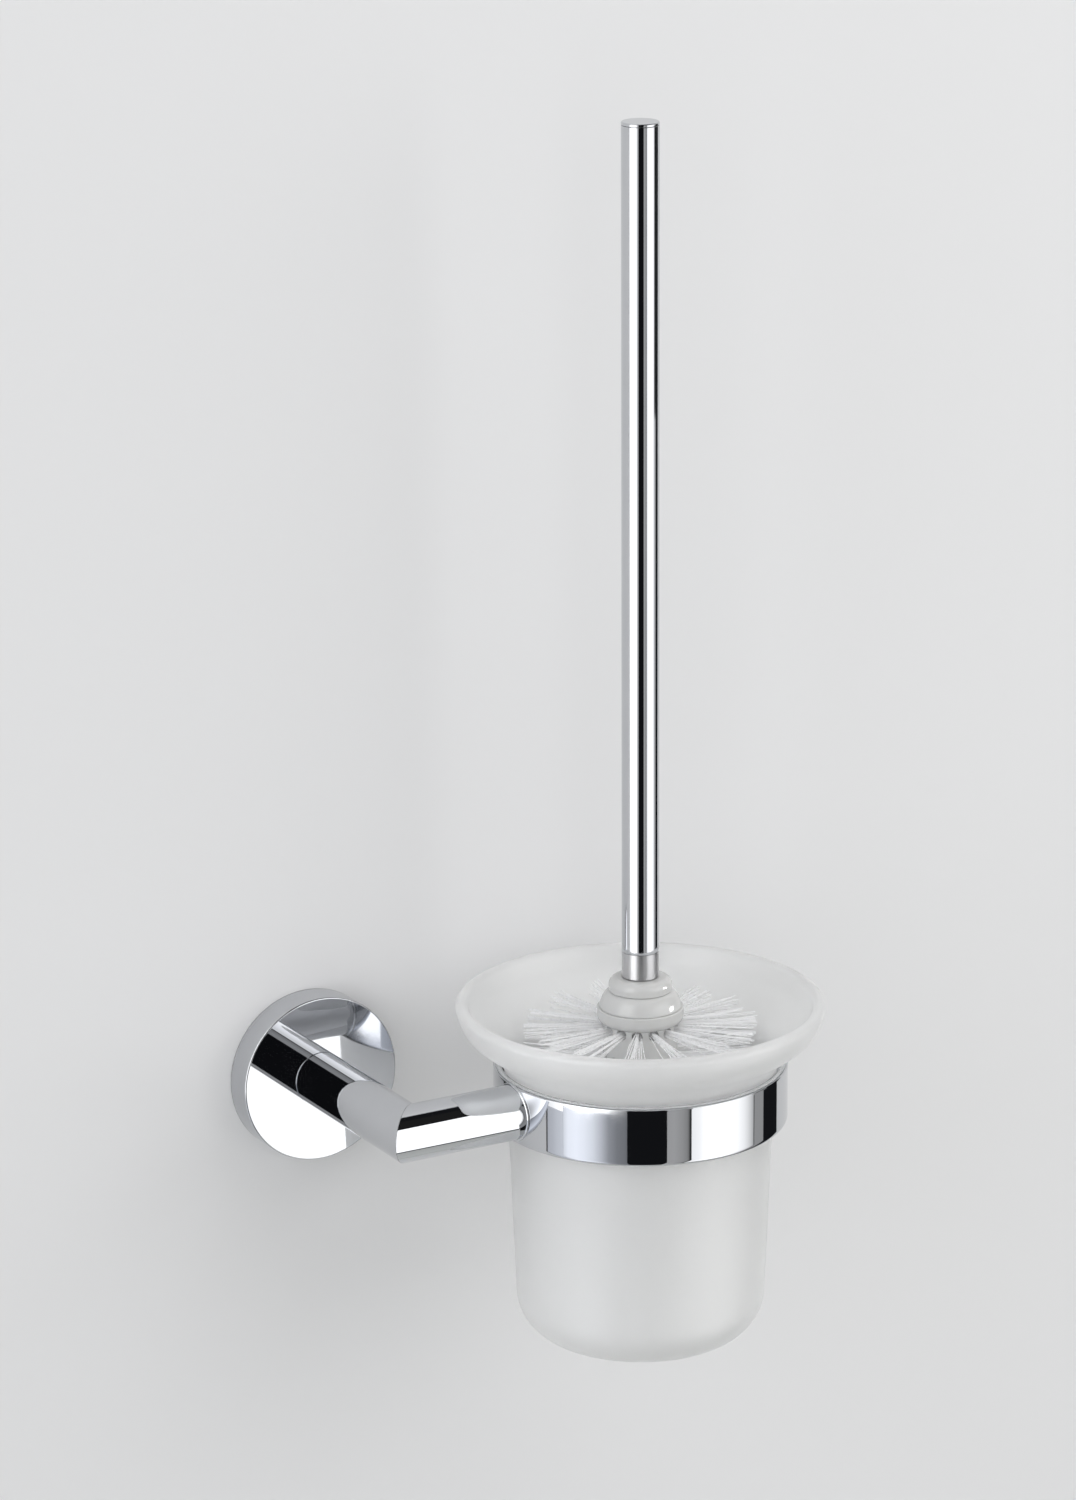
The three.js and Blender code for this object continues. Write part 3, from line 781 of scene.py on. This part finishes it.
# The line of one filament in its tuft's own frame, from a random spot in the hole out to the trimmed end
def filamentPath(sizes, chance, reach):
    spread, turn = chance.random() ** sizes["gather"], chance.uniform(0, 2 * math.pi)
    across, up = spread * math.cos(turn), spread * math.sin(turn)
    root = Vector((0, across * sizes["rootRadius"], up * sizes["rootRadius"]))
    tip = Vector((0, across * sizes["rootRadius"] * sizes["fanWide"] + chance.gauss(0, sizes["stray"]),
                  up * sizes["rootRadius"] * sizes["fanHigh"] + chance.gauss(0, sizes["stray"])))
    end = reach - chance.uniform(0, sizes["trim"])
    end = math.sqrt(end ** 2 - tip.y ** 2)
    bow = Vector((0, chance.gauss(0, sizes["bow"]), chance.gauss(0, sizes["bow"]) - sizes["sag"]))
    path = [Vector((sizes["start"], 0, 0)) + root]
    for step in range(6):
        share = step / 5
        out = sizes["fanFrom"] + (end - sizes["fanFrom"]) * share
        path.append(Vector((out, 0, 0)) + root.lerp(tip, share) + bow * math.sin(math.pi * share) * share)
    return path


def makeBristleRow(sizes, row, name, height, ended):
    chance = random.Random(31 + row)
    low, high = nodeBox(name)
    reach = sizes["endReach"] if ended else (high.y - low.y) / 2 - 0.1
    vertices, faces = [], []
    for i in range(sizes["perRow"]):
        place = tuftPlace(height, tuftTurn(row, i), sizes["endDroop"] * ended)
        for _ in range(sizes["perTuft"]):
            path = [place @ point for point in filamentPath(sizes, chance, reach)]
            addFilament(vertices, faces, path, sizes["thickness"], chance.uniform(0, 2))
    mesh = bpy.data.meshes.new(name)
    mesh.from_pydata([onCupAxis @ (point * mm) for point in vertices], [], faces)
    piece = bpy.data.objects.new(name.replace("bristle_row", "tufts"), mesh)
    bpy.context.scene.collection.objects.link(piece)
    fit(piece, "brush_head", nylon, "nylon_bristles", name)
    return len(faces)


counts = [makeBristleRow(bristles, row, *facts) for row, facts in enumerate(bristleRows())]
print("bristle rows built:", len(counts), "with", sum(counts), "faces")

# The hidden plugs and the stud keep their CAD shape
for name in ("arm_plug", "cross_arm_plug", "head_stud"):
    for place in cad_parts[name].material_slots:
        place.material = fastenerSteel


# Studio: a pale wall and floor, reflector cards and soft lamps
def emissionMaterial(name, colour, strength):
    material, tree, shader = newMaterial(name)
    shader.inputs["Base Color"].default_value = (0, 0, 0, 1)
    shader.inputs["Specular IOR Level"].default_value = 0
    shader.inputs["Emission Color"].default_value = (*colour, 1)
    shader.inputs["Emission Strength"].default_value = strength
    return material


def sheetOf(name, corners, material, faces=((0, 1, 2, 3),)):
    mesh = bpy.data.meshes.new(name)
    mesh.from_pydata(corners, [], faces)
    mesh.materials.append(material)
    piece = bpy.data.objects.new(name, mesh)
    bpy.context.scene.collection.objects.link(piece)
    return piece


# Cards curve round the cup axis. Only polished surfaces and clear ones see them. Each stop is a turn
# from straight out of the wall, in degrees, and the card's level there.
cards = {
    "left upper": {"distance": 1.1, "heights": (-0.381, 1.3), "colour": (1.0, 1.0, 1.0), "strength": 3.0,
                   "stops": ((-94, 0.75), (-90, 0.8), (-86, 1.0), (-62, 1.0),
                             (-57, 0.75), (-52, 0.45), (-47, 0.26), (-42, 0.15), (-38, 0.06), (-35, 0.0))},
    "left lower": {"distance": 1.1, "heights": (-1.3, -0.381), "colour": (0.90, 0.93, 1.0), "strength": 1.0,
                   "stops": ((-94, 1.0), (-91.5, 1.2), (-88, 1.47), (-81, 1.55), (-74.4, 1.44), (-67.8, 1.23),
                             (-61.3, 0.87), (-55, 0.48), (-48.6, 0.33), (-42.4, 0.28), (-39.5, 0.2),
                             (-38, 0.02), (-35, 0.0))},
    "left rim": {"distance": 1.12, "heights": (-1.45, 1.35), "colour": (1.0, 1.0, 1.0), "strength": 0.05,
                 "stops": ((-94, 1.0), (-34, 1.0)), "dark": True},
    "left end upper": {"distance": 0.2, "heights": (-0.052, 0.5), "colour": (1.0, 1.0, 1.0), "strength": 1.0,
                       "stops": ((-99.4, 1.35), (-92.3, 1.65), (-86.3, 2.25))},
    "left end lower": {"distance": 0.2, "heights": (-0.34, -0.052), "colour": (0.90, 0.93, 1.0),
                       "strength": 1.0, "stops": ((-99.4, 0.7), (-98.4, 0.73), (-94.8, 0.79), (-91.4, 0.9),
                                                  (-88.0, 0.96), (-86.3, 1.05))},
    "left end rim": {"distance": 0.203, "heights": (-0.37, 0.5), "colour": (1.0, 1.0, 1.0), "strength": 0.1,
                     "stops": ((-100.8, 1.0), (-86.3, 1.0)), "dark": True},
    "dark front": {"distance": 1.05, "heights": (-1.45, 1.8), "colour": (0.9, 0.95, 1.1), "strength": 0.01,
                   "stops": ((-40.7, 1.0), (-10.5, 1.0)), "dark": True},
    "right": {"distance": 1.0, "heights": (-1.05, 0.76), "colour": (1.0, 1.0, 1.0), "strength": 2.0,
              "stops": ((8.6, 0.7), (14.6, 0.75), (21, 0.9), (30, 1.0), (43, 0.95), (51, 0.8), (56, 0.7),
                        (60, 0.58), (64, 0.42), (66.5, 0.3))},
    "right rim": {"distance": 1.01, "heights": (-1.2, 0.78), "colour": (1.0, 1.0, 1.0), "strength": 0.05,
                  "stops": ((6.9, 1.0), (67.4, 1.0)), "dark": True},
    "grey side": {"distance": 1.03, "heights": (-1.2, 0.8), "colour": (1.0, 1.0, 1.0), "strength": 0.42,
                  "stops": ((66.0, 1.0), (82.0, 0.94)), "dark": True},
    "dark over right": {"distance": 1.02, "heights": (0.76, 1.8), "colour": (1.0, 1.0, 1.0), "strength": 0.06,
                        "stops": ((-10.0, 1.0), (6.0, 1.0), (8.0, 0.3), (67.0, 0.3)), "dark": True},
    "right shade": {"distance": 1.015, "heights": (-1.2, 0.78), "colour": (1.0, 1.0, 1.0), "strength": 1.0,
                    "stops": ((-10.5, 0.5), (-5.0, 0.52), (1.4, 0.44), (5.0, 0.36), (6.9, 0.2)), "dark": True},
    "small lamp": {"distance": 0.95, "heights": (0.0, 0.16), "colour": (1.0, 0.99, 0.97), "strength": 60.0,
                   "stops": ((61.0, 1.0), (75.0, 1.0)), "lights": ("cap", "collar", "core")},
}


def cardMaterial(name, facts):
    material = emissionMaterial(name, facts["colour"], facts["strength"])
    tree = material.node_tree
    level = addNode(tree, "ShaderNodeAttribute", attribute_name="level")
    shade = addNode(tree, "ShaderNodeVectorMath", operation="SCALE")
    shade.inputs[0].default_value = facts["colour"]
    tree.links.new(level.outputs["Fac"], shade.inputs["Scale"])
    tree.links.new(shade.outputs[0], tree.nodes["Principled BSDF"].inputs["Emission Color"])
    return material


def makeCard(name, facts):
    turns, levels = [], []
    for (turn, level), (nextTurn, nextLevel) in zip(facts["stops"], facts["stops"][1:]):
        steps = max(1, math.ceil((nextTurn - turn) / 2))
        for i in range(steps):
            turns.append(turn + (nextTurn - turn) * i / steps)
            levels.append(level + (nextLevel - level) * i / steps)
    turns.append(facts["stops"][-1][0])
    levels.append(facts["stops"][-1][1])
    corners = []
    for turn in turns:
        angle = math.radians(turn)
        x = cupAxis.x * mm + facts["distance"] * math.sin(angle)
        y = cupAxis.y * mm - facts["distance"] * math.cos(angle)
        corners += [(x, y, height) for height in facts["heights"]]
    faces = [(2 * i, 2 * i + 2, 2 * i + 3, 2 * i + 1) for i in range(len(turns) - 1)]
    card = sheetOf("card " + name, corners, cardMaterial("card " + name, facts), faces)
    attribute = card.data.attributes.new("level", "FLOAT", "POINT")
    attribute.data.foreach_set("value", [level for level in levels for _ in range(2)])
    onlyReflected(card)
    card.visible_transmission = "dark" not in facts
    if "lights" in facts:
        lit = bpy.data.collections.new("lit by card " + name)
        for piece in facts["lights"]:
            lit.objects.link(bpy.data.objects[piece])
        card.light_linking.receiver_collection = lit


def onlyReflected(card):
    card.visible_camera = False
    card.visible_diffuse = False
    card.visible_transmission = False
    card.visible_volume_scatter = False
    card.visible_shadow = False


for name, facts in cards.items():
    makeCard(name, facts)

# Two flat dark cards, by their corners
flags = {
    "card side": ((0.5, -0.1735, -0.9), (0.5, -0.0158, -0.9), (0.5, -0.0158, 0.35), (0.5, -0.1735, 0.35)),
    "card overhead": ((-0.3, -2.2, 1.8), (2.6, -2.2, 1.8), (2.6, 0.0, 1.8), (-0.3, 0.0, 1.8)),
}
flagColour, flagStrength = (0.9, 0.95, 1.1), 0.012
for name, corners in flags.items():
    onlyReflected(sheetOf(name, corners, emissionMaterial(name, flagColour, flagStrength)))

# The wall shows from the front only, and not to what lies against it, so that the object can be seen
# from behind too. The floor glows in reflections by how near it is, and a bit more to the camera.
wall = {"colour": (0.81, 0.81, 0.815), "roughness": 0.8, "gloss": 0.1, "gap": 0.0002,
        "left": -2.5, "right": 3.5, "foot": -1.45, "top": 2.5}
floor = {"colour": (0.74, 0.755, 0.74), "roughness": 0.7, "height": -1.45, "tint": (0.98, 1.0, 0.97),
         "near": 0.64, "nearTo": 0.8, "far": 0.46, "farFrom": 2.4, "share": 0.7, "paler": 0.6,
         "left": -4, "right": 5, "front": -5, "back": 3}


def makeWall(look):
    material, tree, shader = newMaterial("pale wall")
    shader.inputs["Base Color"].default_value = (*look["colour"], 1)
    shader.inputs["Roughness"].default_value = look["roughness"]
    shader.inputs["Specular IOR Level"].default_value = look["gloss"]
    link = tree.links.new
    geometry = addNode(tree, "ShaderNodeNewGeometry")
    rays = addNode(tree, "ShaderNodeLightPath")
    front = addNode(tree, "ShaderNodeMath", {0: 1.0}, operation="SUBTRACT")
    seen = addNode(tree, "ShaderNodeMath", operation="MAXIMUM")
    seenThrough = addNode(tree, "ShaderNodeMath", operation="MAXIMUM")
    away = addNode(tree, "ShaderNodeMath", {1: look["gap"] * 5}, operation="GREATER_THAN")
    openFront = addNode(tree, "ShaderNodeMath", operation="MULTIPLY")
    shown = addNode(tree, "ShaderNodeMath", operation="MULTIPLY")
    clear = addNode(tree, "ShaderNodeBsdfTransparent")
    mixed = addNode(tree, "ShaderNodeMixShader")
    link(geometry.outputs["Backfacing"], front.inputs[1])
    link(rays.outputs["Ray Length"], away.inputs[0])
    link(front.outputs[0], openFront.inputs[0])
    link(away.outputs[0], openFront.inputs[1])
    link(rays.outputs["Is Camera Ray"], seen.inputs[0])
    link(rays.outputs["Is Glossy Ray"], seen.inputs[1])
    link(seen.outputs[0], seenThrough.inputs[0])
    link(rays.outputs["Is Transmission Ray"], seenThrough.inputs[1])
    link(seenThrough.outputs[0], shown.inputs[0])
    link(openFront.outputs[0], shown.inputs[1])
    link(shown.outputs[0], mixed.inputs["Fac"])
    link(clear.outputs[0], mixed.inputs[1])
    link(shader.outputs[0], mixed.inputs[2])
    link(mixed.outputs[0], tree.nodes["Material Output"].inputs["Surface"])
    left, right, gap = look["left"], look["right"], look["gap"]
    sheetOf("wall", [(left, gap, look["foot"]), (right, gap, look["foot"]),
                     (right, gap, look["top"]), (left, gap, look["top"])], material)


def makeFloor(look):
    material, tree, shader = newMaterial("pale floor")
    shader.inputs["Base Color"].default_value = (*look["colour"], 1)
    shader.inputs["Roughness"].default_value = look["roughness"]
    place = addNode(tree, "ShaderNodeTexCoord")
    away = addNode(tree, "ShaderNodeVectorMath", operation="LENGTH")
    level = addNode(tree, "ShaderNodeMapRange", {"From Min": look["nearTo"], "From Max": look["farFrom"],
                                                 "To Min": look["near"], "To Max": look["far"]})
    glow = addNode(tree, "ShaderNodeEmission", {"Color": (*look["tint"], 1)})
    rays = addNode(tree, "ShaderNodeLightPath")
    seen = addNode(tree, "ShaderNodeMath", {1: look["share"]}, operation="MULTIPLY")
    share = addNode(tree, "ShaderNodeMath", operation="MAXIMUM")
    lift = addNode(tree, "ShaderNodeMath", {1: look["paler"], 2: 1.0}, operation="MULTIPLY_ADD")
    strength = addNode(tree, "ShaderNodeMath", operation="MULTIPLY")
    mixed = addNode(tree, "ShaderNodeMixShader")
    link = tree.links.new
    link(rays.outputs["Is Camera Ray"], lift.inputs[0])
    link(lift.outputs[0], strength.inputs[0])
    link(level.outputs[0], strength.inputs[1])
    link(rays.outputs["Is Camera Ray"], seen.inputs[0])
    link(seen.outputs[0], share.inputs[0])
    link(rays.outputs["Is Glossy Ray"], share.inputs[1])
    link(place.outputs["Object"], away.inputs[0])
    link(away.outputs["Value"], level.inputs["Value"])
    link(strength.outputs[0], glow.inputs["Strength"])
    link(share.outputs[0], mixed.inputs["Fac"])
    link(shader.outputs[0], mixed.inputs[1])
    link(glow.outputs[0], mixed.inputs[2])
    link(mixed.outputs[0], tree.nodes["Material Output"].inputs["Surface"])
    left, right, front, back = (look[side] for side in ("left", "right", "front", "back"))
    plane = sheetOf("floor", [(left, front, 0), (right, front, 0), (right, back, 0), (left, back, 0)], material)
    plane.location = (0, 0, look["height"])


makeWall(wall)
makeFloor(floor)

# Soft lamps. The share is how much of a white surface's brightness the lamp gives when the surface faces it.
coolWhite, plainWhite = (0.93, 0.95, 1.0), (1.0, 1.0, 1.0)
lampAim = Vector((cupAxis.x * mm, cupAxis.y * mm, 0.1))
lamps = {
    "left": {"turn": -80.0, "lift": 12.0, "distance": 1.6, "size": 1.3, "share": 0.36, "colour": coolWhite},
    "right": {"turn": 50.0, "lift": 10.0, "distance": 1.6, "size": 1.3, "share": 0.36, "colour": plainWhite},
    "front": {"turn": -30.0, "lift": 4.0, "distance": 2.2, "size": 1.6, "share": 0.15, "colour": plainWhite},
    "top": {"turn": 55.0, "lift": 68.0, "distance": 1.6, "size": 1.3, "share": 0.34, "colour": plainWhite},
}


def makeLamp(name, facts):
    turn, lift = math.radians(facts["turn"]), math.radians(facts["lift"])
    outwards = Vector((math.sin(turn) * math.cos(lift), -math.cos(turn) * math.cos(lift), math.sin(lift)))
    light = bpy.data.lights.new("lamp " + name, "AREA")
    light.shape = "SQUARE"
    light.size = facts["size"]
    light.color = facts["colour"]
    light.energy = facts["share"] * (math.pi * facts["distance"]) ** 2
    lamp = bpy.data.objects.new("lamp " + name, light)
    lamp.location = lampAim + outwards * facts["distance"]
    lamp.rotation_euler = outwards.to_track_quat("Z", "Y").to_euler()
    lamp.visible_glossy = False
    lamp.visible_camera = False
    bpy.context.scene.collection.objects.link(lamp)


for name, facts in lamps.items():
    makeLamp(name, facts)

# The room: pale to the camera and through glass, mid grey in reflections, and a soft fill for the rest
room = {"camera": 0.76, "reflected": 0.48, "fill": 0.5}


def makeRoom(look):
    world = bpy.data.worlds.new("studio")
    world.use_nodes = True
    bpy.context.scene.world = world
    tree = world.node_tree
    link = tree.links.new
    background = tree.nodes["Background"]
    rays = addNode(tree, "ShaderNodeLightPath")
    seen = addNode(tree, "ShaderNodeMath", operation="MAXIMUM")
    direct = addNode(tree, "ShaderNodeMix", {"A": look["fill"], "B": look["camera"]}, data_type="FLOAT")
    mirrored = addNode(tree, "ShaderNodeMix", {"B": look["reflected"]}, data_type="FLOAT")
    link(rays.outputs["Is Camera Ray"], seen.inputs[0])
    link(rays.outputs["Is Transmission Ray"], seen.inputs[1])
    link(seen.outputs[0], direct.inputs["Factor"])
    link(direct.outputs["Result"], mirrored.inputs["A"])
    link(rays.outputs["Is Glossy Ray"], mirrored.inputs["Factor"])
    link(mirrored.outputs["Result"], background.inputs["Strength"])
    background.inputs["Color"].default_value = (1, 1, 1, 1)


makeRoom(room)
bpy.context.scene.view_settings.view_transform = "Standard"
print("studio set up")

# Camera: up and to the left, through a long lens
view = {"turn": -29.6715, "down": 16.5928, "tilt": -0.3149, "distance": 1.77575, "lens": 136.015,
        "aim": (-0.01051, -0.0048, 0.00376)}


def makeCamera(facts):
    low, high = (Vector(place) for place in cadBox)
    aim = (low + high) / 2 + Vector(facts["aim"])
    turn, down, tilt = (math.radians(facts[key]) for key in ("turn", "down", "tilt"))
    forward = Vector((-math.sin(turn) * math.cos(down), math.cos(turn) * math.cos(down), -math.sin(down)))
    right = Vector((math.cos(turn), math.sin(turn), 0))
    up = right.cross(forward)
    tiltedRight = math.cos(tilt) * right + math.sin(tilt) * up
    tiltedUp = math.cos(tilt) * up - math.sin(tilt) * right
    data = bpy.data.cameras.new("camera")
    data.lens = facts["lens"]
    data.sensor_width = 36
    data.clip_start = 0.05
    camera = bpy.data.objects.new("camera", data)
    facing = Matrix((tiltedRight, tiltedUp, -forward)).transposed().to_4x4()
    camera.matrix_world = Matrix.Translation(aim - forward * facts["distance"]) @ facing
    bpy.context.scene.collection.objects.link(camera)
    bpy.context.scene.camera = camera


makeCamera(view)
